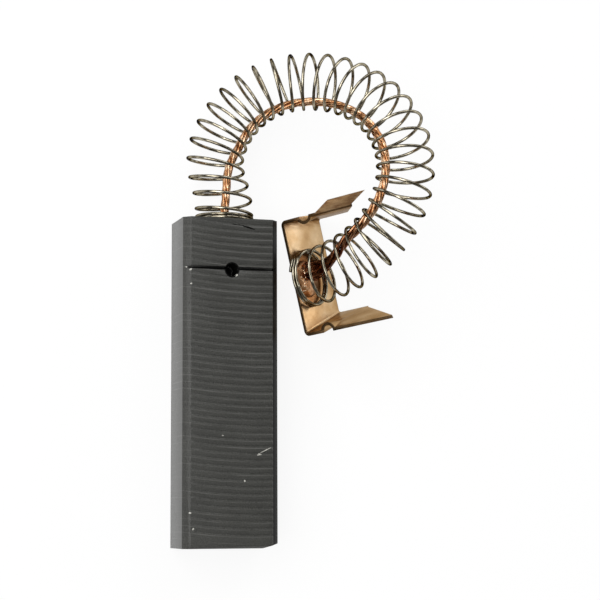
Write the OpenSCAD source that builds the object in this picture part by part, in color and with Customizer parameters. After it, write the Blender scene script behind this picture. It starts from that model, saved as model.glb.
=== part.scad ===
// Carbon brush for a small motor. A stranded copper lead is tamped into the
// end of a carbon block and runs inside a long compression spring, which is
// bent over into an arch, to a brass terminal clip that it is fused to.
// The brush lies on the back face of its block: +Z is up, +Y runs along the
// block towards the spring, and +X points to the side the arch bends to.

/* [Carbon block] */
// Width of the block, side to side
block_w = 12.5; // [11:0.1:14]
// Thickness of the block, back face to front face
block_t = 8; // [7:0.1:9.5]
// Length of the block, contact face to spring end
block_l = 42; // [32:0.5:46]
// Leg of the chamfer along each long edge
edge_chamfer = 0.9; // [0.3:0.1:1.5]
// Leg of the bevel along the front edge of the contact face
toe_bevel = 0.3; // [0.1:0.05:0.6]
// Width of the worn corner of the contact face on the arch's side
wear_w = 2.2; // [0.5:0.1:3]
// Length of that worn corner along the block
wear_l = 0.6; // [0.2:0.1:1]

/* [Cutter marks] */
// Distance from one curved mark to the next, on the front and back faces
mark_pitch = 0.86; // [0.6:0.02:1.6]
// Width of a mark
mark_w = 0.3; // [0.1:0.05:0.4]
// Depth of a mark
mark_depth = 0.05; // [0.02:0.01:0.15]
// Radius that the cutter swept
mark_r = 60; // [40:5:120]
// Side offset of the cutter's centre from the middle of the block
mark_x = 3; // [0:0.5:5]

/* [Groove and cross hole] */
// Width of the saw groove across the front face
groove_w = 0.35; // [0.2:0.05:0.8]
// Depth of the groove
groove_depth = 0.5; // [0.2:0.05:0.8]
// Distance from the spring end to the middle of the groove
groove_setback = 6.5; // [5:0.1:12]
// Diameter of the blind hole in the front face
hole_d = 1.65; // [1:0.05:2.5]
// Depth of the blind hole
hole_depth = 3; // [1.5:0.1:4]
// Distance from the spring end to the middle of the blind hole
hole_setback = 6.7; // [6.5:0.1:12]

/* [Lead] */
// Diameter of the stranded copper lead
lead_d = 1.15; // [0.7:0.05:1.3]
// Diameter of the lead bore in the spring end of the block
bore_d = 2.2; // [1.6:0.1:2.6]
// Depth of the lead bore
bore_depth = 5; // [4:0.1:5.5]
// Depth that the lead reaches into the bore
lead_seat = 4.4; // [3:0.1:4.6]
// Depth of the tamped powder's face below the spring end
powder_sink = 0.15; // [0:0.05:0.5]
// Distance from the spring's axis to the lead, where the lead runs along the inner side of the arch
lead_hug = 2.7; // [1:0.1:2.7]
// Length over which the lead swings out from the axis
lead_in = 14; // [6:0.5:16]
// Length over which the lead comes back to the axis
lead_out = 10; // [8:0.5:24]
// Widening of the lead's crushed end, as a multiple of its diameter
lead_flare = 2.2; // [1:0.1:2.6]

/* [Spring] */
// Diameter of the spring wire
wire_d = 0.4; // [0.3:0.05:0.5]
// Outside diameter of the coils
coil_d = 7.65; // [7.5:0.05:8]
// Closed turns at each end
closed_turns = 2; // [1:1:4]
// Open turns between the closed ends
open_turns = 32.1; // [28:0.1:34]
// Length of the spring along its bent axis
axis_len = 67.9; // [65:0.1:70]
// Length at the block over which the axis is still straight
straight_len = 5.5; // [3:0.1:7]
// Angle that the axis turns through over the arch
arch_turn = 259; // [250:0.5:262]
// Unevenness of the arch's bend
arch_sway = 3.9; // [3:0.1:10]
// Angle by which the axis has turned too far at the middle of the arch
arch_lead = 12.1; // [8:0.1:16]
// Steepest climb of the arch away from the block's back plane
climb = 32.3; // [28:0.1:33]
// Place of the steepest climb, as a share of the axis
climb_at = 0.47; // [0.44:0.01:0.5]
// Sharpness of the climb's rise and fall
climb_sharpness = 7.3; // [6:0.1:9]
// Steepest dip of the axis, at the clip
dip = 53.1; // [51:0.1:54]
// Place where the axis begins to dip, as a share of the axis
dip_from = 0.61; // [0.58:0.01:0.64]
// Place where the dip would be steepest, as a share of the axis
dip_to = 1.03; // [1:0.01:1.08]
// Sideways slant of the coil stack near the block
root_lean = 17; // [10:0.5:30]
// Length over which that slant comes and goes
root_lean_len = 10.8; // [8:0.1:16]
// Place of the wire's first end, as a share of a turn
start_phase = 0.11; // [0:0.01:1]

/* [Terminal clip] */
// Thickness of the brass sheet
sheet_t = 0.4; // [0.3:0.05:0.5]
// Width of the strip
clip_w = 8.6; // [7.6:0.1:8.9]
// Length of the web over the two folds, at its upper edge
clip_l = 15.4; // [14:0.1:16.5]
// Roll of the clip about the spring's end
clip_roll = 2.8; // [-4:0.1:6]
// Offset of the coil from the middle of the strip's width, towards the flanges' upper edges
coil_offset = 1.9; // [0.4:0.1:2]
// Distance of the coil below the middle of the web's length
coil_drop = 0.3; // [0:0.1:0.8]
// Inside radius of the folds between web and flanges
fold_r = 0.3; // [0.2:0.05:0.6]
// Angle that the lower fold is out of square
fold_skew = 12; // [0:1:15]
// Distance from the web to the middle of a flange's detent
detent_x = 3.3; // [2.8:0.1:3.5]
// Width of the detent where it opens at the flange's upper edge
detent_w = 2.3; // [1.6:0.1:2.4]
// Depth of the upper flange's detent at that edge
upper_detent_h = 1.1; // [0.6:0.1:1.4]
// Depth of the lower flange's detent at that edge
lower_detent_h = 1.3; // [0.6:0.1:1.6]
// Length over which the detent tapers away, across the flange
detent_l = 5; // [3:0.1:6]
// Length of the lower flange along its upper edge
flange_l = 13.3; // [12:0.1:15]
// Length of the upper flange along its upper edge
upper_flange_l = 10.9; // [9:0.1:12]
// Length of both flanges along their lower edge
flange_short_l = 4.7; // [3.6:0.1:6]
// Height of the lug that is turned out along the upper edge of the upper flange
lug_h = 1.4; // [1:0.1:2]
// Distance from the web to the lug's root
lug_root = 4.7; // [4.7:0.1:6]
// Forward slant of the lug's ends over its height
lug_rake = 2.8; // [0.5:0.1:3]
// Angle that the lug is turned out from the flange
lug_angle = 70; // [40:5:90]

/* [Weld] */
// Diameter of the hole that the lead's fused end fills in the web
weld_hole_d = 2; // [1.4:0.1:2.4]
// Diameter of the fused disc on the inside of the web
weld_disc_d = 5; // [2.6:0.1:5.2]
// Thickness of that disc
weld_disc_t = 0.35; // [0.25:0.05:0.6]
// Diameter of the fused dome on the outside of the web
weld_dome_d = 2.7; // [2.5:0.1:3.4]
// Height of that dome
weld_dome_h = 1; // [0.5:0.05:1.3]

/* [Hidden] */

$fn = 48;
eps = 0.01;
carbon_grey = "#4A4A46";
powder_brown = "#5A4636";
copper_orange = "#B5683C";
spring_steel = "#8C8A82";
clip_brass = "#C2A184";
weld_pink = "#C58F72";

// The spring's wire has a six-sided section, with flats towards its neighbours
wire_sides = 6;
turn_steps = 16;
wire_half = wire_d / 2 * cos(180 / wire_sides);
coil_r = (coil_d - wire_d) / 2;
closed_pitch = wire_d;
open_pitch = (axis_len - 2 * closed_turns * closed_pitch) / open_turns;
turns = 2 * closed_turns + open_turns;

function unit(v) = v / norm(v);
function ease(x) = (1 - cos(180 * max(0, min(1, x)))) / 2;

// ---- The spring's axis, as a function of the distance s along it ----

function bend_share(s) = max(0, (s - straight_len) / (axis_len - straight_len));
function heading(s) =
    let (share = bend_share(s))
    90 - arch_turn * share + arch_sway * sin(360 * share) - arch_lead * pow(sin(180 * share), 2);
function slant(s) = root_lean * pow(sin(180 * min(1, s / root_lean_len)), 2);
climb_warp = ln(0.5) / ln(climb_at);
function pitch_up(s) =
    let (share = min(1, s / axis_len))
    climb * pow(max(0, sin(180 * pow(share, climb_warp))), climb_sharpness)
    - dip * ease((share - dip_from) / (dip_to - dip_from));
function direction(turn, tilt) = [cos(tilt) * cos(turn), cos(tilt) * sin(turn), sin(tilt)];
function tangent(s) = direction(heading(s), pitch_up(s));
function inward(s) = [sin(heading(s)), -cos(heading(s)), 0];
function upward(s) = direction(heading(s), pitch_up(s) + 90);

// Places along the axis at the given distances, each worked out from the one before
axis_start = [0, wire_half, block_t / 2];
function step_between(a, b) = (b - a) * direction(heading((a + b) / 2) + slant((a + b) / 2), pitch_up((a + b) / 2));
function axis_points(at) =
    [for (i = 0, p = axis_start; i < len(at); p = i + 1 < len(at) ? p + step_between(at[i], at[i + 1]) : p, i = i + 1) p];

// ---- The coils ----

// Distance along the axis after n turns, counted from the block
function axis_at_turn(n) =
    n < closed_turns ? n * closed_pitch
    : n < closed_turns + open_turns ? closed_turns * closed_pitch + (n - closed_turns) * open_pitch
    : axis_len - (turns - n) * closed_pitch;

coil_at = [for (i = [0 : floor(turns * turn_steps)]) axis_at_turn(i / turn_steps)];
coil_axis = axis_points(coil_at);
function wire_angle(i) = 360 * (i / turn_steps + start_phase);
coil_out = [for (i = [0 : len(coil_at) - 1])
    cos(wire_angle(i)) * inward(coil_at[i]) + sin(wire_angle(i)) * upward(coil_at[i])];
coil_wire = [for (i = [0 : len(coil_at) - 1]) coil_axis[i] + coil_r * coil_out[i]];

// ---- The clip's place: its web is flat against the spring's last turn ----

clip_x = -tangent(axis_len);
level_y = unit(cross([0, 0, 1], clip_x));
clip_y = cos(clip_roll) * level_y + sin(clip_roll) * cross(clip_x, level_y);
clip_z = cross(clip_x, clip_y);
weld_centre = coil_axis[len(coil_axis) - 1] - wire_half * clip_x;
clip_seat = weld_centre + coil_drop * clip_y - coil_offset * clip_z;
function on_clip(p) = clip_seat + p[0] * clip_x + p[1] * clip_y + p[2] * clip_z;

// ---- The lead's route ----

lead_step = 1.3;
lead_end = axis_len - lead_step;
lead_rings = floor(lead_end / lead_step);
lead_at = [for (i = [0 : lead_rings]) i * lead_end / lead_rings];
lead_axis = axis_points(lead_at);
function hug(s) = lead_hug * ease(s / lead_in) * (1 - ease((s - axis_len + lead_out) / lead_out));
lead_route = concat(
    [[0, -lead_seat, block_t / 2], [0, -lead_seat / 2, block_t / 2]],
    [for (i = [0 : lead_rings]) lead_axis[i] + hug(lead_at[i]) * inward(lead_at[i])],
    [for (k = [1, 0]) weld_centre + (weld_disc_t + k * lead_step / 2) * clip_x]
);
function flare(i) = 1 + (lead_flare - 1) * ease((i - (len(lead_route) - 4)) / 3);

// ---- The flanges' slanting ends ----

// Length that a flange loses from its upper to its lower edge, for each millimetre across the strip
function flange_end(long, across) = long - across * (long - flange_short_l) / clip_w;

// ---- The origin: the middle of the brush's extent, on the plane it lies on ----

// The arch, the upper flange's lug or the lower flange's tip reaches furthest to the side
lug_tip = [upper_flange_l - sheet_t + lug_rake, clip_l / 2 - sheet_t / 2 + lug_h * sin(lug_angle),
    clip_w / 2 - sheet_t / 2 + lug_h * cos(lug_angle)];
lower_tip = [flange_l, -clip_l / 2, clip_w / 2];
reach_x = max(on_clip(lug_tip)[0], on_clip(lower_tip)[0], max([for (p = coil_wire) p[0]]) + wire_d / 2);
reach_y = max([for (p = coil_wire) p[1]]) + wire_d / 2;
origin = [(reach_x - block_w / 2) / 2, (reach_y - block_l) / 2, 0];

// ---- Shared forms ----

// A round bar swept along centres; each ring's first corner points along its aim
module swept_bar(centres, aims, radii, sides) {
    last = len(centres) - 1;
    corners = [for (i = [0 : last])
        let (along = unit(centres[min(i + 1, last)] - centres[max(i - 1, 0)]),
             u = unit(aims[i] - (aims[i] * along) * along),
             v = cross(along, u))
        for (k = [0 : sides - 1])
            centres[i] + radii[i] * (cos(360 * k / sides) * u + sin(360 * k / sides) * v)];
    walls = [for (i = [0 : last - 1], k = [0 : sides - 1])
        let (n = (k + 1) % sides)
        [i * sides + k, (i + 1) * sides + k, (i + 1) * sides + n, i * sides + n]];
    caps = [[for (k = [0 : sides - 1]) k], [for (k = [sides - 1 : -1 : 0]) last * sides + k]];
    polyhedron(corners, concat(walls, caps));
}

// ---- Carbon block ----

module block_section() {
    x = block_w / 2;
    c = edge_chamfer;
    polygon([
        [-x + c, 0], [x - c, 0], [x, c], [x, block_t - c],
        [x - c, block_t], [-x + c, block_t], [-x, block_t - c], [-x, c]
    ]);
}

// One shallow curved mark, an arc that is lowest at the cutter's centre line
module cutter_mark() {
    steps = 4;
    half_angle = asin((block_w / 2 + mark_x) / mark_r);
    arc = [for (k = [0 : steps]) let (a = half_angle * (2 * k / steps - 1)) mark_r * [sin(a), 1 - cos(a)]];
    linear_extrude(2 * mark_depth, center = true)
        polygon(concat(
            [for (p = arc) p + [0, mark_w / 2]],
            [for (k = [steps : -1 : 0]) arc[k] - [0, mark_w / 2]]));
}

module cutter_marks() {
    for (k = [1 : floor(block_l / mark_pitch) - 1])
        translate([mark_x, -k * mark_pitch, 0]) cutter_mark();
}

module toe_cuts() {
    // Bevel along the front edge of the contact face
    translate([0, -block_l, block_t]) rotate([45, 0, 0])
        cube([block_w + 1, toe_bevel * sqrt(2), toe_bevel * sqrt(2)], center = true);
    // Worn corner
    translate([0, 0, -1]) linear_extrude(block_t + 2)
        polygon([
            [block_w / 2 - wear_w, -block_l - eps],
            [block_w / 2 + eps, -block_l - eps],
            [block_w / 2 + eps, -block_l + wear_l]
        ]);
}

module carbon_block() {
    color(carbon_grey)
    difference() {
        rotate([90, 0, 0]) linear_extrude(block_l) block_section();
        translate([0, 0, block_t]) cutter_marks();
        cutter_marks();
        toe_cuts();
        // Saw groove across the front face
        translate([-block_w / 2 - 1, -groove_setback - groove_w / 2, block_t - groove_depth])
            cube([block_w + 2, groove_w, groove_depth + 1]);
        // Blind hole beside the groove
        translate([0, -hole_setback, block_t - hole_depth]) cylinder(d = hole_d, h = hole_depth + 1);
        // Bore that the lead is tamped into
        translate([0, eps, block_t / 2]) rotate([90, 0, 0]) cylinder(d = bore_d, h = bore_depth + eps);
    }
}

// ---- Powder that holds the lead in its bore ----

module tamped_powder() {
    color(powder_brown)
    translate([0, 0, block_t / 2])
    difference() {
        translate([0, -powder_sink, 0]) rotate([90, 0, 0]) cylinder(d = bore_d, h = bore_depth - powder_sink);
        translate([0, eps, 0]) rotate([90, 0, 0]) cylinder(d = lead_d, h = lead_seat + eps);
    }
}

// ---- Lead ----

module pigtail() {
    count = len(lead_route);
    color(copper_orange)
        swept_bar(lead_route, [for (i = [1 : count]) [0, 0, 1]],
            [for (i = [0 : count - 1]) lead_d / 2 * flare(i)], 8);
}

// ---- Spring ----

module spring() {
    color(spring_steel)
        swept_bar(coil_wire, coil_out, [for (p = coil_wire) wire_d / 2], wire_sides);
}

// ---- Terminal clip ----

// A flange in its own frame: x away from the web, y outwards, z along the fold,
// with the upper outer corner of the fold at the origin
fold_leg = 1.5;

// The fold between web and flange, with a short leg down the web
module fold_section() {
    outer_r = fold_r + sheet_t;
    translate([-sheet_t, -fold_leg]) square([sheet_t, fold_leg - outer_r]);
    intersection() {
        translate([-sheet_t, -outer_r]) square(outer_r);
        translate([fold_r, -outer_r]) difference() {
            circle(outer_r);
            circle(fold_r);
        }
    }
}

// Flat part of a flange, seen along y
module flange_outline(long) {
    far = clip_w + 1;
    polygon([
        [fold_r, 1], [flange_end(long, -1), 1], [flange_short_l, -clip_w],
        [flange_short_l, -far], [fold_r, -far]
    ]);
}

// Half cone pressed inwards, open at the upper edge and tapering away below it
module detent(w, h) {
    translate([detent_x, 0, 1]) mirror([0, 0, 1]) scale([1, 2 * h / w, 1])
        cylinder(r1 = w / 2 * (1 + 1 / detent_l), r2 = 0, h = detent_l + 1);
}

module flange_sheet(long, detent_h, skew) {
    in_width(skew) difference() {
        union() {
            translate([0, 0, -2 * clip_w]) linear_extrude(3 * clip_w) fold_section();
            rotate([90, 0, 0]) linear_extrude(sheet_t) flange_outline(long);
            intersection() {
                detent(detent_w, detent_h);
                translate([0, -2 * detent_h, -clip_w]) cube([2 * detent_x, 2 * detent_h, 2 * clip_w]);
            }
        }
        detent(detent_w - 2 * sheet_t, detent_h - sheet_t);
    }
}

// Keeps what is within the strip's width, for a flange that leans by skew
module in_width(skew) {
    intersection() {
        children();
        rotate([-skew, 0, 0]) translate([-5, -clip_l, -clip_w]) cube([flange_l + 10, 2 * clip_l, clip_w]);
    }
}

// Lug along the upper edge, with a rounded fold at its root
module lug() {
    translate([0, -sheet_t / 2, -sheet_t / 2]) {
        rotate([90 - lug_angle, 0, 0]) translate([0, 0, -sheet_t / 2]) linear_extrude(sheet_t)
            polygon([
                [lug_root, 0], [upper_flange_l - sheet_t, 0],
                [upper_flange_l - sheet_t + lug_rake, lug_h], [lug_root + lug_rake, lug_h]
            ]);
        translate([lug_root, 0, 0]) rotate([0, 90, 0])
            cylinder(d = sheet_t, h = upper_flange_l - sheet_t - lug_root);
    }
}

module web() {
    inset = fold_leg - 0.5;
    rise = clip_w * tan(fold_skew);
    low = -clip_l / 2 + inset / cos(fold_skew);
    rotate([0, -90, 0]) linear_extrude(sheet_t)
        polygon([
            [clip_w / 2, low], [-clip_w / 2, low + rise],
            [-clip_w / 2, clip_l / 2 - inset], [clip_w / 2, clip_l / 2 - inset]
        ]);
}

module upper_flange() {
    translate([0, clip_l / 2, clip_w / 2]) {
        flange_sheet(upper_flange_l, upper_detent_h, 0);
        lug();
    }
}

module lower_flange() {
    translate([0, -clip_l / 2, clip_w / 2]) rotate([fold_skew, 0, 0]) mirror([0, 1, 0])
        flange_sheet(flange_l, lower_detent_h, -fold_skew);
}

module at_clip(seat) {
    multmatrix([for (k = [0 : 2]) [clip_x[k], clip_y[k], clip_z[k], seat[k]]]) children();
}

module terminal_clip() {
    color(clip_brass)
    at_clip(clip_seat)
    difference() {
        union() {
            web();
            upper_flange();
            lower_flange();
        }
        translate([-sheet_t - 1, -coil_drop, coil_offset]) rotate([0, 90, 0]) cylinder(d = weld_hole_d, h = sheet_t + 2);
    }
}

// ---- Fused end of the lead ----

module weld_nugget() {
    steps = 6;
    dome = [for (k = [0 : steps]) let (a = 90 * k / steps) [
        weld_dome_d / 2 * cos(a), -sheet_t - weld_dome_h * sin(a)]];
    color(weld_pink)
    at_clip(weld_centre) rotate([0, 90, 0])
        rotate_extrude()
            polygon(concat(
                [[0, weld_disc_t], [weld_disc_d / 2 - 0.3, weld_disc_t], [weld_disc_d / 2, 0],
                 [weld_hole_d / 2, 0], [weld_hole_d / 2, -sheet_t]],
                dome));
}

// Moves a piece from the block's spring end to the brush's own origin
module placed() {
    translate(-origin) children();
}

placed() carbon_block();
placed() tamped_powder();
placed() pigtail();
placed() spring();
placed() terminal_clip();
placed() weld_nugget();
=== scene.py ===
"""Looks of a carbon brush: a graphite block, a copper lead inside an arched spring, and a brass clip.

Lengths are written in millimetres and turned to metres by MM where a mesh is made.
"""
import math
import random

import bpy
from mathutils import Matrix, Vector, noise


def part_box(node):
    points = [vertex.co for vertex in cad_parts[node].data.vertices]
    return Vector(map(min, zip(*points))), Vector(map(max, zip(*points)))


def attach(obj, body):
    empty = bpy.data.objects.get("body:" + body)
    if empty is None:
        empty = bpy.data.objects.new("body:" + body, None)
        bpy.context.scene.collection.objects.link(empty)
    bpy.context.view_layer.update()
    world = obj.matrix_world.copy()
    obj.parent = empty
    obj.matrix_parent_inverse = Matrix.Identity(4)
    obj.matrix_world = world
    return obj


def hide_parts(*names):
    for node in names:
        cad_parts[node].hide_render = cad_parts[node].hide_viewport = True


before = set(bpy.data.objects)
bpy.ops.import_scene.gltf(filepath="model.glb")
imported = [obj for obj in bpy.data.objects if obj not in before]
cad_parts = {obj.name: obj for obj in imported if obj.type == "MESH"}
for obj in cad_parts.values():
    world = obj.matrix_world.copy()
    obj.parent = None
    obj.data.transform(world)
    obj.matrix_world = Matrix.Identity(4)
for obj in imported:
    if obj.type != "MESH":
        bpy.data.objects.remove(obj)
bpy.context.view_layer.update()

MM = 0.001
random.seed(7)

# ---------------------------------------------------------------- sizes of the brush, in millimetres

BLOCK_T = 8.0
block_low, block_high = (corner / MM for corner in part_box("carbon_block"))
# Middle of the block's spring end, on the plane that the brush lies on
ROOT = Vector(((block_low.x + block_high.x) / 2, block_high.y, block_low.z))

MARK_PITCH, MARK_RADIUS, MARK_X = 0.86, 60.0, 3.0
GROOVE_SETBACK, HOLE_SETBACK = 6.5, 6.7
# Places on the block's front, worn or painted: x and y from the middle of its spring end, half length, half
# width, turn.
# Shade is painted in the groove and in the hole, and along the right front edge, and each painted spot
# reaches so deep.
SPOT_DEPTH = 1.0
PAINTED_SHADE_SPOTS = (
    (((0, -GROOVE_SETBACK, 9.0, 0.22, 0),), 0.7),
    (((0, -HOLE_SETBACK, 0.98, 0.98, 0),), 5.0),
    (((5.9, -21, 80.0, 0.5, 90),), 1.4),
)
GOUGES = ((0.9, -0.72, 0.9, 0.06, -6), (2.3, -1.02, 0.9, 0.11, -15))
# Chips on the block's front, coloured near white as painted glints
CHIPS_AND_GLINTS = (
    (-5.3, -6.7, 0.16, 0.11, 40), (-5.75, -6.35, 0.12, 0.08, 0), (-5.25, -8.5, 0.12, 0.1, 20),
    (0.72, -7.25, 0.16, 0.12, 45), (4.4, -29.6, 1.0, 0.05, 26), (3.7, -30.1, 0.3, 0.06, 10),
    (-5.3, -37.4, 0.12, 0.1, 0), (-1.1, -27.7, 0.1, 0.06, 0), (1.8, -33.4, 0.07, 0.12, 0),
    (-4.9, -39.4, 0.16, 0.07, 60),
)
WIRE_D, COIL_D = 0.4, 7.65
WIRE_HALF = WIRE_D / 2 * math.cos(math.radians(30))
COIL_R = (COIL_D - WIRE_D) / 2
CLOSED_TURNS, OPEN_TURNS = 2, 32.1
TURNS = 2 * CLOSED_TURNS + OPEN_TURNS
AXIS_LEN, STRAIGHT_LEN = 67.9, 5.5
OPEN_PITCH = (AXIS_LEN - 2 * CLOSED_TURNS * WIRE_D) / OPEN_TURNS
ARCH_TURN, ARCH_SWAY, ARCH_LEAD = 259.0, 3.9, 12.1
CLIMB, CLIMB_AT, CLIMB_SHARPNESS = 32.3, 0.47, 7.3
DIP, DIP_FROM, DIP_TO = 53.1, 0.61, 1.03
ROOT_LEAN, ROOT_LEAN_LEN, START_PHASE = 17.0, 10.8, 0.11
LEAD_D, LEAD_SEAT, LEAD_HUG, LEAD_IN, LEAD_OUT = 1.15, 4.4, 2.7, 12.0, 10.0
CLIP_W, CLIP_L, CLIP_ROLL, COIL_OFFSET = 8.6, 15.4, 2.8, 1.9
WELD_DISC_T = 0.35


def sin(degrees):
    return math.sin(math.radians(degrees))


def cos(degrees):
    return math.cos(math.radians(degrees))


def ease(x):
    return (1 - cos(180 * max(0.0, min(1.0, x)))) / 2


# ---------------------------------------------------------------- the spring's axis

def heading(s):
    share = max(0.0, (s - STRAIGHT_LEN) / (AXIS_LEN - STRAIGHT_LEN))
    return 90 - ARCH_TURN * share + ARCH_SWAY * sin(360 * share) - ARCH_LEAD * sin(180 * share) ** 2


def slant(s):
    return ROOT_LEAN * sin(180 * min(1.0, s / ROOT_LEAN_LEN)) ** 2


CLIMB_WARP = math.log(0.5) / math.log(CLIMB_AT)


def pitch_up(s):
    share = min(1.0, s / AXIS_LEN)
    rise = CLIMB * max(0.0, sin(180 * share ** CLIMB_WARP)) ** CLIMB_SHARPNESS
    return rise - DIP * ease((share - DIP_FROM) / (DIP_TO - DIP_FROM))


def direction(turn, tilt):
    return Vector((cos(tilt) * cos(turn), cos(tilt) * sin(turn), sin(tilt)))


def inward(s):
    return Vector((sin(heading(s)), -cos(heading(s)), 0))


def upward(s):
    return direction(heading(s), pitch_up(s) + 90)


AXIS_STEP = 0.05
axis_line = [ROOT + Vector((0, WIRE_HALF, BLOCK_T / 2))]
for step in range(int(AXIS_LEN / AXIS_STEP) + 40):
    middle = (step + 0.5) * AXIS_STEP
    axis_line.append(axis_line[-1] + AXIS_STEP * direction(heading(middle) + slant(middle), pitch_up(middle)))


def on_axis(s):
    place = max(0.0, s) / AXIS_STEP
    below = min(int(place), len(axis_line) - 2)
    return axis_line[below].lerp(axis_line[below + 1], place - below)


clip_x = -direction(heading(AXIS_LEN), pitch_up(AXIS_LEN))
level_y = Vector((0, 0, 1)).cross(clip_x).normalized()
clip_y = cos(CLIP_ROLL) * level_y + sin(CLIP_ROLL) * clip_x.cross(level_y)
clip_z = clip_x.cross(clip_y)
weld_centre = on_axis(AXIS_LEN) - WIRE_HALF * clip_x


def at_weld(x, y, z):
    """A place measured from the middle of the weld: x off the web, y up it, z across it."""
    return weld_centre + x * clip_x + y * clip_y + z * clip_z


# ---------------------------------------------------------------- camera

EYE = ROOT + Vector((-59.4, -37.0, 225.3))
view_right = Vector((0.931, -0.012, 0.366))
view_up = Vector((-0.03, 0.994, 0.108))
view_back = Vector((-0.365, -0.112, 0.925))
# The brush is brought to the middle of the view by turning the camera where it stands, by these slopes
PAN_SLOPE, TILT_SLOPE = -0.070304, 0.003937
forward = (PAN_SLOPE * view_right + TILT_SLOPE * view_up - view_back).normalized()
view_right = (view_right - view_right.dot(forward) * forward).normalized()
view_up = view_right.cross(forward)
camera_data = bpy.data.cameras.new("camera")
camera_data.sensor_width = 36
camera_data.lens = 106.68
camera_data.clip_start = 0.01
camera_data.clip_end = 10
camera = bpy.data.objects.new("camera", camera_data)
bpy.context.scene.collection.objects.link(camera)
view_turn = Matrix((view_right, view_up, -forward)).transposed().to_4x4()
camera.matrix_world = Matrix.Translation(EYE * MM) @ view_turn
bpy.context.scene.camera = camera


# ---------------------------------------------------------------- helpers

def colour(hex_code):
    """An sRGB hex value as the linear colour that a socket takes."""
    parts = [int(hex_code[i:i + 2], 16) / 255 for i in (1, 3, 5)]
    return tuple(c / 12.92 if c <= 0.04045 else ((c + 0.055) / 1.055) ** 2.4 for c in parts) + (1.0,)


def add_node(tree, kind, settings=None, links=None, stops=()):
    """Adds a node. Settings are its properties or its inputs' values, links its inputs from other nodes,
    and stops a ramp's (place, hex colour or grey level) pairs."""
    made = tree.nodes.new("ShaderNode" + kind)
    for name, value in (settings or {}).items():
        if isinstance(name, str) and name[0].islower():
            setattr(made, name, value)
        else:
            made.inputs[name].default_value = value
    for name, source in (links or {}).items():
        socket = source if isinstance(source, bpy.types.NodeSocket) else source.outputs[0]
        tree.links.new(socket, made.inputs[name])
    for number, (position, value) in enumerate(stops):
        elements = made.color_ramp.elements
        stop = elements[number] if number < len(elements) else elements.new(position)
        stop.position = position
        stop.color = colour(value) if isinstance(value, str) else (value, value, value, 1)
    return made


def new_material(name):
    """A material with its tree, its shader and its Object coordinates, turned to millimetres."""
    material = bpy.data.materials.new(name)
    material.use_nodes = True
    tree = material.node_tree
    place = add_node(tree, "TexCoord").outputs["Object"]
    mm = add_node(tree, "Mapping", {"Scale": (1 / MM, 1 / MM, 1 / MM)}, {"Vector": place})
    return material, tree, tree.nodes["Principled BSDF"], mm


def feed(shader, **sources):
    """Links a shader's inputs, named with _ for a space, from nodes."""
    for name, source in sources.items():
        socket = source if isinstance(source, bpy.types.NodeSocket) else source.outputs[0]
        source_tree = socket.id_data
        source_tree.links.new(socket, shader.inputs[name.replace("_", " ")])


def deselect():
    if bpy.context.mode != "OBJECT":
        bpy.ops.object.mode_set(mode="OBJECT")
    bpy.ops.object.select_all(action="DESELECT")


def make_active(piece):
    deselect()
    piece.select_set(True)
    bpy.context.view_layer.objects.active = piece


def apply_modifiers(piece):
    make_active(piece)
    for modifier in list(piece.modifiers):
        bpy.ops.object.modifier_apply(modifier=modifier.name)


def place_applied(piece):
    """Moves a piece's place into its mesh, so that its object is at the origin."""
    make_active(piece)
    bpy.ops.object.transform_apply(location=True, rotation=True, scale=True)


def finish_piece(piece, name, material, slot, *stands_for):
    piece.name = name
    piece.data.name = name
    piece.data.materials.clear()
    piece.data.materials.append(material)
    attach(piece, "root")
    if stands_for:
        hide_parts(*stands_for)
    return piece


def drawn_bar(name, lines, radius, sides):
    """Round bars with flat ends, along lines of points in millimetres, as one mesh with a UV map."""
    curve = bpy.data.curves.new(name, "CURVE")
    curve.dimensions = "3D"
    curve.bevel_depth = radius * MM
    curve.bevel_resolution = (sides - 4) // 2
    curve.use_fill_caps = True
    curve.twist_mode = "MINIMUM"
    for line in lines:
        spline = curve.splines.new("POLY")
        spline.points.add(len(line) - 1)
        for index, place in enumerate(line):
            spline.points[index].co = (*(place * MM), 1)
        spline.use_smooth = True
    bar = bpy.data.objects.new(name, curve)
    bpy.context.scene.collection.objects.link(bar)
    make_active(bar)
    bpy.ops.object.convert(target="MESH")
    return bpy.context.view_layer.objects.active


def cad_copy(node, name):
    """A merged copy of a CAD node's mesh, with its flat faces joined up again."""
    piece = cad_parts[node].copy()
    piece.data = piece.data.copy()
    piece.parent = None
    for key in list(piece.keys()):
        del piece[key]
    bpy.context.scene.collection.objects.link(piece)
    piece.name = name
    make_active(piece)
    bpy.ops.object.mode_set(mode="EDIT")
    bpy.ops.mesh.select_all(action="SELECT")
    bpy.ops.mesh.remove_doubles(threshold=1e-6)
    bpy.ops.mesh.dissolve_limited(angle_limit=math.radians(0.5))
    bpy.ops.object.mode_set(mode="OBJECT")
    piece.data.materials.clear()
    return piece


# ---------------------------------------------------------------- materials

def front_ovals(tree, place, spots, depth=SPOT_DEPTH):
    """A mask that is 1 inside flat ovals on the block's front: (x, y, half length, half width, turn)."""
    mask = None
    for x, y, half_length, half_width, turn in spots:
        oval = add_node(tree, "Mapping", {"vector_type": "TEXTURE", "Location": (x, y, BLOCK_T),
                                          "Rotation": (0, 0, math.radians(turn)),
                                          "Scale": (half_length, half_width, depth)}, {"Vector": place})
        reach = add_node(tree, "VectorMath", {"operation": "LENGTH"}, {0: oval}).outputs["Value"]
        inside = add_node(tree, "Math", {"operation": "LESS_THAN", 1: 1.0}, {0: reach})
        mask = add_node(tree, "Math", {"operation": "MAXIMUM"}, {0: mask, 1: inside}) if mask else inside
    return mask


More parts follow.
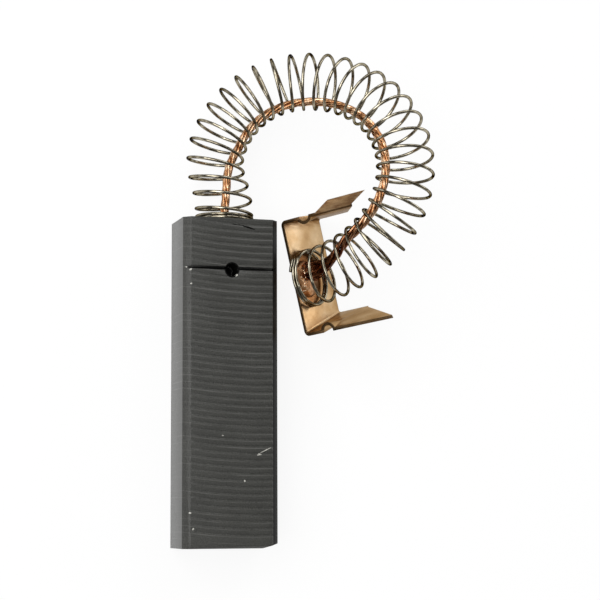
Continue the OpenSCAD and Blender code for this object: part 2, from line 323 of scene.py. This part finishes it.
def carbon_material():
    # Electrographite, pressed and sawn: matt dark grey that turns shiny at a slant, with pale grains, a
    # painted highlight on one lip of each cutter's mark, painted shade in the groove, the hole and along the
    # right front edge, scratches, and chips painted near white as glints.
    material, tree, shader, mm = new_material("pressed electrographite")
    place = add_node(tree, "VectorMath", {"operation": "SUBTRACT", 1: tuple(ROOT)}, {0: mm})
    # grains of about 0.15 mm
    grain = add_node(tree, "TexNoise", {"Scale": 6.0, "Detail": 3.0, "Roughness": 0.65}, {"Vector": place})
    # cloudy patches about 3 mm across
    cloud = add_node(tree, "TexNoise", {"Scale": 0.35, "Detail": 3.0}, {"Vector": place})
    body = add_node(tree, "ValToRGB", links={"Fac": grain},
                    stops=[(0.3, "#31312E"), (0.5, "#3C3C39"), (0.72, "#4D4D49")])
    shade = add_node(tree, "ValToRGB", links={"Fac": cloud}, stops=[(0.35, 0.86), (0.65, 1.0)])
    tinted = add_node(tree, "Mix", {"data_type": "RGBA", "blend_type": "MULTIPLY", "Factor": 1.0},
                      {6: body, 7: shade})

    # the cutter's arcs, MARK_PITCH apart: each has a painted highlight on one lip, stronger in some places
    # than in others
    axes = add_node(tree, "SeparateXYZ", links={"Vector": place})
    off_centre = add_node(tree, "Math", {"operation": "SUBTRACT", 1: MARK_X}, {0: axes.outputs["X"]})
    sag = add_node(tree, "Math", {"operation": "MULTIPLY"}, {0: off_centre, 1: off_centre})
    drop = add_node(tree, "Math", {"operation": "MULTIPLY_ADD", 1: -0.5 / MARK_RADIUS},
                    {0: sag, 2: axes.outputs["Y"]})
    count = add_node(tree, "Math", {"operation": "DIVIDE", 1: MARK_PITCH}, {0: drop})
    share = add_node(tree, "Math", {"operation": "FRACT"}, {0: count})
    lip_highlight = add_node(tree, "ValToRGB", links={"Fac": share},
                   stops=[(0.0, 0.0), (0.70, 0.0), (0.80, 1.0), (0.86, 0.0), (1.0, 0.0)])
    drawn_out = add_node(tree, "Mapping", {"Scale": (0.12, 1.1, 0.12)}, {"Vector": place})
    fade = add_node(tree, "TexNoise", {"Scale": 1.0, "Detail": 2.0}, {"Vector": drawn_out})
    fade = add_node(tree, "ValToRGB", links={"Fac": fade}, stops=[(0.4, 0.0), (0.7, 0.55)])
    lip_highlight = add_node(tree, "Math", {"operation": "MULTIPLY"}, {0: lip_highlight, 1: fade})
    lip_lit = add_node(tree, "Mix", {"data_type": "RGBA", 7: colour("#747470")},
                     {"Factor": lip_highlight, 6: tinted.outputs[2]})

    # uneven outlines for the spots below
    rough_place = add_node(tree, "VectorMath", {"operation": "MULTIPLY_ADD", 1: (0.25, 0.25, 0)},
                           {0: grain.outputs["Color"], 2: place})
    gouges_and_painted_shade = front_ovals(tree, rough_place, GOUGES)
    chip_glint = front_ovals(tree, rough_place, CHIPS_AND_GLINTS)
    # painted shade: dark ovals in the groove, in the hole and along the right front edge, whose reflection is
    # also turned down below
    for spots, depth in PAINTED_SHADE_SPOTS:
        painted_spot_shade = front_ovals(tree, place, spots, depth)
        gouges_and_painted_shade = add_node(tree, "Math", {"operation": "MAXIMUM"}, {0: gouges_and_painted_shade, 1: painted_spot_shade})
    gouged_and_shaded = add_node(tree, "Mix", {"data_type": "RGBA", 7: colour("#0C0C0B")},
                      {"Factor": gouges_and_painted_shade, 6: lip_lit.outputs[2]})
    # chips, with a near-white painted glint on them
    with_chip_glints = add_node(tree, "Mix", {"data_type": "RGBA", 7: colour("#B9B8B0")},
                       {"Factor": chip_glint, 6: gouged_and_shaded.outputs[2]})

    gloss = add_node(tree, "ValToRGB", links={"Fac": grain}, stops=[(0.3, 0.27), (0.7, 0.42)])
    bump = add_node(tree, "Bump", {"Strength": 0.3, "Distance": 0.03 * MM}, {"Height": grain})
    sheen = add_node(tree, "Math", {"operation": "MULTIPLY_ADD", 1: -0.44, 2: 0.5}, {0: gouges_and_painted_shade})
    feed(shader, Base_Color=with_chip_glints.outputs[2], Roughness=gloss, Normal=bump, Specular_IOR_Level=sheen)
    shader.inputs["IOR"].default_value = 1.6
    return material


def spring_material():
    # Music wire, drawn bright and oiled: dark steel with an olive cast and sharp highlights.
    material, tree, shader, mm = new_material("drawn spring steel")
    # stains about 1.2 mm across
    cloud = add_node(tree, "TexNoise", {"Scale": 0.8, "Detail": 3.0}, {"Vector": mm})
    body = add_node(tree, "ValToRGB", links={"Fac": cloud}, stops=[(0.38, "#70695A"), (0.62, "#B8B09C")])
    feed(shader, Base_Color=body)
    shader.inputs["Metallic"].default_value = 1.0
    shader.inputs["Roughness"].default_value = 0.13
    # painted shade: a dark specular tint darkens its reflections at a slant, towards the wire's edges
    shader.inputs["Specular Tint"].default_value = colour("#4A443A")
    return material


def strand_material():
    # Fine bare copper filaments, twisted in bundles: warm tan where bright, darkened red-brown
    # towards the weld by its heat.
    material, tree, shader, mm = new_material("bare copper strand")
    around_along = add_node(tree, "UVMap", {"uv_map": "UVMap"})
    # ten filaments round each bundle, and a slow turn along it
    combed = add_node(tree, "Mapping", {"Scale": (10, 40, 1), "Rotation": (0, 0, 0.1)},
                      {"Vector": around_along})
    filament = add_node(tree, "TexNoise", {"Scale": 1.0, "Detail": 2.0}, {"Vector": combed})
    # stains about 1 mm across
    cloud = add_node(tree, "TexNoise", {"Scale": 1.1, "Detail": 4.0, "Roughness": 0.6}, {"Vector": mm})
    bright = add_node(tree, "ValToRGB", links={"Fac": cloud},
                      stops=[(0.32, "#7C4C28"), (0.48, "#BC8A60"), (0.64, "#F2D2B0")])
    burnt = add_node(tree, "ValToRGB", links={"Fac": cloud}, stops=[(0.35, "#552010"), (0.65, "#94603C")])
    away = add_node(tree, "VectorMath", {"operation": "DISTANCE", 1: tuple(weld_centre)},
                    {0: mm}).outputs["Value"]
    heat = add_node(tree, "MapRange", {"From Min": 7.0, "From Max": 15.0, "To Min": 0.95, "To Max": 0.0},
                    {"Value": away})
    body = add_node(tree, "Mix", {"data_type": "RGBA"}, {"Factor": heat, 6: bright, 7: burnt})
    bump = add_node(tree, "Bump", {"Strength": 0.35, "Distance": 0.04 * MM}, {"Height": filament})
    feed(shader, Base_Color=body.outputs[2], Normal=bump)
    shader.inputs["Metallic"].default_value = 1.0
    shader.inputs["Roughness"].default_value = 0.24
    return material


def brass_material():
    # Half-hard brass strip, stamped and folded: pale pinkish gold, with painted brown shade in streaks on the
    # upper flange and its lug, and painted shade along the sheared edges of the strip.
    material, tree, shader, mm = new_material("stamped brass strip")
    # tarnish about 3 mm across
    cloud = add_node(tree, "TexNoise", {"Scale": 0.35, "Detail": 4.0}, {"Vector": mm})
    body = add_node(tree, "ValToRGB", links={"Fac": cloud},
                    stops=[(0.3, "#B08C62"), (0.5, "#C8A67C"), (0.7, "#DCC09A")])
    # distances from the weld, up the web and across the strip
    up = add_node(tree, "VectorMath", {"operation": "DOT_PRODUCT", 1: tuple(clip_y)},
                  {0: mm}).outputs["Value"]
    across = add_node(tree, "VectorMath", {"operation": "DOT_PRODUCT", 1: tuple(clip_z)},
                      {0: mm}).outputs["Value"]
    up = add_node(tree, "Math", {"operation": "SUBTRACT", 1: weld_centre.dot(clip_y)}, {0: up})
    across = add_node(tree, "Math",
                      {"operation": "SUBTRACT", 1: (weld_centre - COIL_OFFSET * clip_z).dot(clip_z)},
                      {0: across})
    across = add_node(tree, "Math", {"operation": "ABSOLUTE"}, {0: across})
    # painted shade: brown streaks towards the top of the web, on the upper flange and its lug
    streak_place = add_node(tree, "Mapping",
                            {"Scale": (0.5, 2.2, 0.5), "Rotation": (0, 0, math.radians(14))},
                            {"Vector": mm})
    streaks = add_node(tree, "TexNoise", {"Scale": 1.0, "Detail": 3.0, "Roughness": 0.6},
                       {"Vector": streak_place})
    streaks = add_node(tree, "ValToRGB", links={"Fac": streaks}, stops=[(0.38, 0.9), (0.62, 0.25)])
    high = add_node(tree, "MapRange", {"From Min": CLIP_L / 2 - 1.2, "From Max": CLIP_L / 2 - 0.3},
                    {"Value": up})
    flange_painted_shade = add_node(tree, "Math", {"operation": "MULTIPLY"}, {0: streaks, 1: high})
    body = add_node(tree, "Mix", {"data_type": "RGBA", 7: colour("#866040")}, {"Factor": flange_painted_shade, 6: body})
    # painted shade: a dark band along the sheared edges of the strip
    sheared_edge_shade = add_node(tree, "MapRange",
                       {"From Min": CLIP_W / 2 - 0.09, "From Max": CLIP_W / 2 - 0.03, "To Max": 0.75},
                       {"Value": across})
    on_strip = add_node(tree, "Math", {"operation": "LESS_THAN", 1: CLIP_W / 2 + 0.02}, {0: across})
    sheared_edge_shade = add_node(tree, "Math", {"operation": "MULTIPLY"}, {0: sheared_edge_shade, 1: on_strip})
    body = add_node(tree, "Mix", {"data_type": "RGBA", 7: colour("#4A341C")},
                    {"Factor": sheared_edge_shade, 6: body.outputs[2]})
    # the weld's heat turned the web copper-brown inside the coil
    away = add_node(tree, "VectorMath", {"operation": "DISTANCE", 1: tuple(weld_centre)},
                    {0: mm}).outputs["Value"]
    scorched = add_node(tree, "MapRange", {"From Min": 3.0, "From Max": 3.9, "To Min": 0.85, "To Max": 0.0},
                        {"Value": away})
    body = add_node(tree, "Mix", {"data_type": "RGBA", 7: colour("#A66E42")},
                    {"Factor": scorched, 6: body.outputs[2]})
    # rolling grain, 0.1 mm across
    rolled = add_node(tree, "TexNoise", {"Scale": 9.0, "Detail": 2.0}, {"Vector": mm})
    gloss = add_node(tree, "ValToRGB", links={"Fac": rolled}, stops=[(0.3, 0.26), (0.7, 0.4)])
    feed(shader, Base_Color=body.outputs[2], Roughness=gloss)
    shader.inputs["Metallic"].default_value = 1.0
    # tarnish dulls it at a slant
    shader.inputs["Specular Tint"].default_value = colour("#B8AFA2")
    return material


def weld_material():
    # Copper strands melted into the web: a dull pink blob with brown scale on it and bright beads.
    material, tree, shader, mm = new_material("fused copper")
    # scale about 1 mm across
    cloud = add_node(tree, "TexNoise", {"Scale": 1.2, "Detail": 4.0}, {"Vector": mm})
    body = add_node(tree, "ValToRGB", links={"Fac": cloud},
                    stops=[(0.3, "#9A6440"), (0.5, "#D09A6C"), (0.66, "#ECC094")])
    height = add_node(tree, "VectorMath", {"operation": "DOT_PRODUCT", 1: tuple(clip_x)},
                      {0: mm}).outputs["Value"]
    height = add_node(tree, "Math", {"operation": "SUBTRACT", 1: weld_centre.dot(clip_x) + WELD_DISC_T},
                      {0: height})
    bead = add_node(tree, "MapRange", {"From Min": 0.03, "From Max": 0.09}, {"Value": height})
    body = add_node(tree, "Mix", {"data_type": "RGBA", 7: colour("#FBE0C0")}, {"Factor": bead, 6: body})
    gloss = add_node(tree, "MapRange", {"To Min": 0.36, "To Max": 0.16}, {"Value": bead})
    bump = add_node(tree, "Bump", {"Strength": 0.6, "Distance": 0.15 * MM}, {"Height": cloud})
    feed(shader, Base_Color=body.outputs[2], Normal=bump, Roughness=gloss)
    shader.inputs["Metallic"].default_value = 1.0
    return material


def powder_material():
    # Copper and graphite powder, tamped hard: matt brown-grey with coppery specks.
    material, tree, shader, mm = new_material("tamped copper powder")
    # specks of about 0.1 mm
    grit = add_node(tree, "TexNoise", {"Scale": 9.0, "Detail": 2.0}, {"Vector": mm})
    body = add_node(tree, "ValToRGB", links={"Fac": grit},
                    stops=[(0.35, "#4A3A30"), (0.55, "#6A4A36"), (0.7, "#A06A48")])
    bump = add_node(tree, "Bump", {"Strength": 0.8, "Distance": 0.06 * MM}, {"Height": grit})
    feed(shader, Base_Color=body, Normal=bump)
    shader.inputs["Roughness"].default_value = 0.75
    return material


carbon = carbon_material()
spring_steel = spring_material()
copper_strand = strand_material()
clip_brass = brass_material()
fused_copper = weld_material()
tamped = powder_material()

# ---------------------------------------------------------------- carbon block

block = cad_copy("carbon_block", "pressed_block")
soften = block.modifiers.new("soften", "BEVEL")
soften.width = 0.05 * MM
soften.segments = 2
soften.limit_method = "ANGLE"
soften.angle_limit = math.radians(35)
soften.use_clamp_overlap = True
apply_modifiers(block)
bpy.ops.object.shade_smooth_by_angle(angle=math.radians(30))
finish_piece(block, "pressed_block", carbon, "carbon", "carbon_block")

# ---------------------------------------------------------------- tamped powder

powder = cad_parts["tamped_powder"]
powder.data.materials.clear()
powder.data.materials.append(tamped)

# ---------------------------------------------------------------- spring

STEPS_A_TURN = 44
coil = []
for step in range(int(TURNS * STEPS_A_TURN) + 1):
    n = step / STEPS_A_TURN
    if n < CLOSED_TURNS:
        s = n * WIRE_D
    elif n < CLOSED_TURNS + OPEN_TURNS:
        s = CLOSED_TURNS * WIRE_D + (n - CLOSED_TURNS) * OPEN_PITCH
    else:
        s = AXIS_LEN - (TURNS - n) * WIRE_D
    angle = 360 * (n + START_PHASE)
    coil.append(on_axis(s) + COIL_R * (cos(angle) * inward(s) + sin(angle) * upward(s)))
spring = drawn_bar("arched_spring", [coil], WIRE_D / 2, 12)
finish_piece(spring, "arched_spring", spring_steel, "spring_steel", "spring")

# ---------------------------------------------------------------- stranded lead

def hug(s):
    return LEAD_HUG * ease(s / LEAD_IN) * (1 - ease((s - AXIS_LEN + LEAD_OUT) / LEAD_OUT))


# One turn of the twist, the bundles and their radius, and the length of the opened end
LAY, BUNDLES, STRAND_R, FAN_LEN = 9.5, 5, 0.24, 5.0
# Handling has loosened the twist from here on, over so much length and by such a share
LOOSE_FROM, LOOSE_OVER, LOOSENED = 44.0, 12.0, 0.35
SEAT_STEP, ROUTE_STEP = 0.4, 0.3
FILAMENTS, FILAMENT_R = 7, 0.11
BEADS = 16
lead_end = AXIS_LEN + WIRE_HALF - WELD_DISC_T
route = [ROOT + Vector((0, -LEAD_SEAT + k * SEAT_STEP, BLOCK_T / 2))
         for k in range(int(LEAD_SEAT / SEAT_STEP) + 1)]
reach = [k * ROUTE_STEP for k in range(1, int((lead_end - FAN_LEN) / ROUTE_STEP) + 1)]
route += [on_axis(s) + hug(s) * inward(s) for s in reach]
run = [0.0]
for a, b in zip(route, route[1:]):
    run.append(run[-1] + (b - a).length)
strands = [[] for _ in range(BUNDLES)]
side = Vector((0, 0, 1))
for i, centre in enumerate(route):
    along = (route[min(i + 1, len(route) - 1)] - route[max(i - 1, 0)]).normalized()
    side = (side - side.dot(along) * along).normalized()
    across = along.cross(side)
    for k in range(BUNDLES):
        slip = 14 * noise.noise(Vector((run[i] * 0.3, 0, k * 3.7)))
        turn = 360 / BUNDLES * k - 360 * run[i] / LAY + slip
        wander = 1 + 0.12 * noise.noise(Vector((run[i] * 0.35, k * 5.1, 0)))
        out = (LEAD_D / 2 - STRAND_R) * wander * (1 + LOOSENED * ease((run[i] - LOOSE_FROM) / LOOSE_OVER))
        strands[k].append(centre + out * (cos(turn) * side + sin(turn) * across))

# Towards the weld each bundle opens into filaments that lie down on the web and end there
filaments = []
for bundle in strands:
    tip, before = bundle[-1], bundle[-4]
    lead_in_way = (tip - before).normalized()
    for _ in range(FILAMENTS):
        start = before + 0.08 * Vector((random.uniform(-1, 1), random.uniform(-1, 1),
                                        random.uniform(-1, 1)))
        landing = at_weld(WELD_DISC_T + random.uniform(0.1, 0.35), random.uniform(-0.4, 2.2),
                          random.uniform(-1.9, 0.5))
        past = landing + random.uniform(0.3, 0.8) * (clip_z - 0.35 * clip_y
                                                     + random.uniform(-0.3, 0.3) * clip_y)
        knee = landing + 1.4 * clip_x - 0.5 * clip_z
        line = []
        for step in range(9):
            t = step / 8
            line.append((1 - t) ** 3 * start + 3 * (1 - t) ** 2 * t * (start + 2.2 * lead_in_way)
                        + 3 * (1 - t) * t ** 2 * knee + t ** 3 * landing)
        line.append(past)
        filaments.append(line)
lead = drawn_bar("stranded_lead", strands, STRAND_R, 8)
fan = drawn_bar("opened_end", filaments, FILAMENT_R, 6)
make_active(lead)
fan.select_set(True)
bpy.ops.object.join()
finish_piece(lead, "stranded_lead", copper_strand, "copper_strand", "pigtail")

# ---------------------------------------------------------------- brass clip

clip = cad_copy("terminal_clip", "folded_clip")
burr = clip.modifiers.new("burr", "BEVEL")
burr.width = 0.06 * MM
burr.segments = 2
burr.limit_method = "ANGLE"
burr.angle_limit = math.radians(40)
apply_modifiers(clip)
bpy.ops.object.shade_smooth_by_angle(angle=math.radians(30))
finish_piece(clip, "folded_clip", clip_brass, "clip_brass", "terminal_clip")

# ---------------------------------------------------------------- weld

weld = cad_copy("weld_nugget", "fused_end")
# Melted ends of single filaments stand as beads on the disc, beside the lead
for _ in range(BEADS):
    bead_r = random.uniform(0.1, 0.19)
    place = at_weld(WELD_DISC_T, random.uniform(-1.7, 1.2), random.uniform(0.3, 1.7))
    deselect()
    bpy.ops.mesh.primitive_ico_sphere_add(subdivisions=2, radius=bead_r * MM, location=place * MM)
    bead = bpy.context.active_object
    place_applied(bead)
    make_active(weld)
    bead.select_set(True)
    bpy.ops.object.join()
make_active(weld)
bpy.ops.object.shade_smooth_by_angle(angle=math.radians(45))
finish_piece(weld, "fused_end", fused_copper, "fused_copper", "weld_nugget")

# ---------------------------------------------------------------- floor, backdrop and light

def backdrop_material():
    # White paper: plain white where it is seen or mirrored, and lit where the brush shades it.
    material, tree, shader, _ = new_material("white paper")
    shader.inputs["Base Color"].default_value = colour("#FFFFFF")
    shader.inputs["Roughness"].default_value = 0.9
    path = add_node(tree, "LightPath")
    seen = add_node(tree, "Math", {"operation": "MAXIMUM"},
                    {0: path.outputs["Is Camera Ray"], 1: path.outputs["Is Glossy Ray"]})
    seen = add_node(tree, "Math", {"operation": "MAXIMUM"},
                    {0: seen, 1: path.outputs["Is Transmission Ray"]})
    share = add_node(tree, "Math", {"operation": "MULTIPLY", 1: 0.9}, {0: seen})
    glow = add_node(tree, "Emission", {"Color": (1, 1, 1, 1), "Strength": 1.0})
    mixed = add_node(tree, "MixShader", links={0: share, 1: shader, 2: glow})
    tree.links.new(mixed.outputs[0], tree.nodes["Material Output"].inputs["Surface"])
    return material


deselect()
bpy.ops.mesh.primitive_plane_add(size=3.0, location=(0, 0, 0))
floor = bpy.context.active_object
floor.name = "floor"
floor.data.materials.append(backdrop_material())

world = bpy.data.worlds.new("studio")
bpy.context.scene.world = world
world.use_nodes = True
world.node_tree.nodes["Background"].inputs["Color"].default_value = (0.18, 0.18, 0.18, 1)
world.node_tree.nodes["Background"].inputs["Strength"].default_value = 1.0


def softbox(name, place, aim, width, height, power):
    lamp_data = bpy.data.lights.new(name, "AREA")
    lamp_data.shape = "RECTANGLE"
    lamp_data.size, lamp_data.size_y = width, height
    lamp_data.energy = power
    lamp = bpy.data.objects.new(name, lamp_data)
    bpy.context.scene.collection.objects.link(lamp)
    place, aim = Vector(place), Vector(aim)
    turn = (aim - place).to_track_quat("-Z", "Y").to_matrix().to_4x4()
    lamp.matrix_world = Matrix.Translation(place) @ turn
    return lamp


softbox("key", (-0.45, 0.20, 0.58), (0, 0, 0), 0.8, 0.6, 4.8)
softbox("top", (-0.40, -0.24, 0.70), (0, 0, 0), 0.35, 0.35, 1.6)
softbox("back", (0.25, 0.60, 0.45), (0, 0, 0), 0.5, 0.3, 1.6)
softbox("side", (0.62, 0.28, 0.18), (0, 0, 0), 0.5, 0.3, 1.1)

bpy.context.scene.view_settings.view_transform = "Standard"
